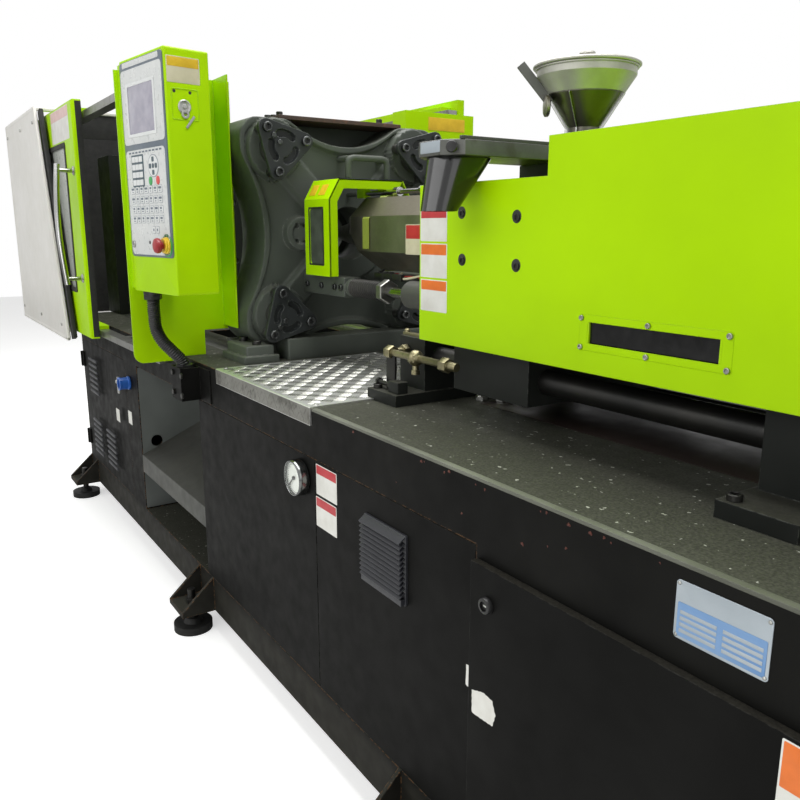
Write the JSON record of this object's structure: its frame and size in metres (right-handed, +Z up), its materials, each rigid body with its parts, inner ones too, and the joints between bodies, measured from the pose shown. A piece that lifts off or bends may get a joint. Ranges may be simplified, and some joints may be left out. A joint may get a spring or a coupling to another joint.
{
  "type": "injection moulding machine",
  "caption": "Horizontal hydraulic injection moulding machine with tie-bar clamp, sliding safety gates, swivelled operator panel and hopper-fed injection carriage on a black welded bed.",
  "frame": {"origin": "on the floor under the middle of the machine's bounding box, on the machine axis", "axes": "+X along the machine towards the injection end, -Y the operator side, +Z up"},
  "size_m": [4.68, 1.366, 1.739],
  "materials": {
    "black_paint": "satin orange-peel paint, worn at edges",
    "rubber_pad": "matt",
    "dark_steel": "blued steel",
    "tread_aluminium": "five-bar tread, scuffed",
    "black_plastic": "matt",
    "gauge_metal": "polished case",
    "needle_black": "matt",
    "blue_plastic": "gloss",
    "zinc_plate": "zinc plated",
    "motor_grey": "enamel",
    "chrome_bar": "hard chrome",
    "rusty_plate": "rust brown",
    "rail_steel": "ground",
    "green_paint": "gloss powder coat",
    "smoked_window": "smoked polycarbonate",
    "white_paint": "fine orange-peel powder coat",
    "panel_white": "membrane",
    "red_plastic": "gloss",
    "stainless": "dull stainless",
    "brass": "yellow passivated"
  },
  "bodies": {
    "machine": {"bed_frame": "black_paint", "level_pads": "rubber_pad", "level_studs": "dark_steel", "tread_plate": "tread_aluminium", "front_panel": "black_paint", "vent_panel": "black_paint", "vent_grille": "black_plastic", "pressure_gauge": "gauge_metal", "power_socket": "blue_plastic", "elec_plate": "zinc_plate", "drop_chute": "black_paint", "pump_unit": "motor_grey", "fixed_platen": "black_paint", "tie_bars": "chrome_bar", "tie_nuts": "dark_steel", "retainer_plates": "black_paint", "retainer_bolts": "dark_steel", "top_plate": "rusty_plate", "lift_bail": "black_paint", "tail_platen": "black_paint", "clamp_cylinder": "black_paint", "gate_rails": "rail_steel", "clamp_covers": "white_paint", "panel_post": "green_paint", "rear_post": "green_paint", "panel_box": "green_paint", "panel_face": "panel_white", "panel_hose": "black_plastic", "hose_bracket": "black_paint", "seat_blocks": "black_paint", "guide_bars": "chrome_bar", "carriage_rods": "chrome_bar", "stop_rod": "rail_steel", "pipe_fittings": "brass"},
    "needle": {"gauge_needle": "needle_black"},
    "pump_door": {"pump_door": "black_paint"},
    "lock": {"door_lock": "dark_steel"},
    "cabinet_door": {"elec_door": "black_paint"},
    "moving_platen": {"moving_platen": "black_paint", "clamp_ram": "chrome_bar"},
    "ejector": {"ejector": "dark_steel"},
    "front_gate": {"front_gate": "green_paint", "gate_window": "smoked_window", "gate_handle": "chrome_bar"},
    "rear_gate": {"rear_gate": "green_paint"},
    "stop_button": {"e_stop": "red_plastic"},
    "carriage": {"carriage_housing": "black_paint", "barrel": "rail_steel", "barrel_cover": "stainless", "cylinder_set": "black_paint", "injection_cover": "green_paint", "cover_window": "smoked_window", "hopper_slide": "stainless"},
    "injection": {"injection_plate": "black_paint", "hydraulic_motor": "motor_grey"},
    "screw": {"screw": "chrome_bar"},
    "hopper": {"hopper": "stainless"},
    "lid": {"hopper_lid": "stainless"},
    "purge_guard": {"purge_guard": "green_paint", "guard_window": "smoked_window"}
  },
  "joints": [
    {"name": "platen_slide", "type": "slide", "parent": "machine", "child": "moving_platen", "axis": [1, 0, 0], "range_m": [0, 0.4]},
    {"name": "ejector_slide", "type": "slide", "parent": "moving_platen", "child": "ejector", "axis": [1, 0, 0], "range_m": [0, 0.08]},
    {"name": "front_gate_slide", "type": "slide", "parent": "machine", "child": "front_gate", "axis": [1, 0, 0], "range_m": [0, 0.742]},
    {"name": "rear_gate_slide", "type": "slide", "parent": "machine", "child": "rear_gate", "axis": [-1, 0, 0], "range_m": [0, 0.742]},
    {"name": "pump_door_hinge", "type": "hinge", "parent": "machine", "child": "pump_door", "pos_m": [2.183, -0.498, 0.459], "axis": [0, 0, 1], "range_deg": [0, 110]},
    {"name": "lock_turn", "type": "hinge", "parent": "pump_door", "child": "lock", "pos_m": [1.264, -0.505, 0.664], "axis": [0, 1, 0], "range_deg": [0, 90]},
    {"name": "cabinet_door_hinge", "type": "hinge", "parent": "machine", "child": "cabinet_door", "pos_m": [-1.7047, -0.4983, 0.465], "axis": [0, 0, -1], "range_deg": [0, 110]},
    {"name": "needle_turn", "type": "hinge", "parent": "machine", "child": "needle", "pos_m": [0.583, -0.5165, 0.691], "axis": [0, 1, 0], "range_deg": [0, 270]},
    {"name": "stop_press", "type": "slide", "parent": "machine", "child": "stop_button", "axis": [-0.1392, 0.9903, 0], "range_m": [0, 0.006], "stiffness_N_per_m": 900},
    {"name": "carriage_slide", "type": "slide", "parent": "machine", "child": "carriage", "axis": [1, 0, 0], "range_m": [-0.1, 0.18]},
    {"name": "injection_slide", "type": "slide", "parent": "carriage", "child": "injection", "axis": [1, 0, 0], "range_m": [0, 0.18]},
    {"name": "screw_turn", "type": "hinge", "parent": "injection", "child": "screw", "pos_m": [1, 0, 1.234], "axis": [1, 0, 0], "continuous": true},
    {"name": "hopper_slide", "type": "slide", "parent": "carriage", "child": "hopper", "axis": [0, -1, 0], "range_m": [0, 0.343]},
    {"name": "lid_hinge", "type": "hinge", "parent": "hopper", "child": "lid", "pos_m": [0.937, 0.108, 1.5723], "axis": [-1, 0, 0], "range_deg": [0, 100]},
    {"name": "guard_slide", "type": "slide", "parent": "machine", "child": "purge_guard", "axis": [1, 0, 0], "range_m": [0, 0.15]}
  ]
}
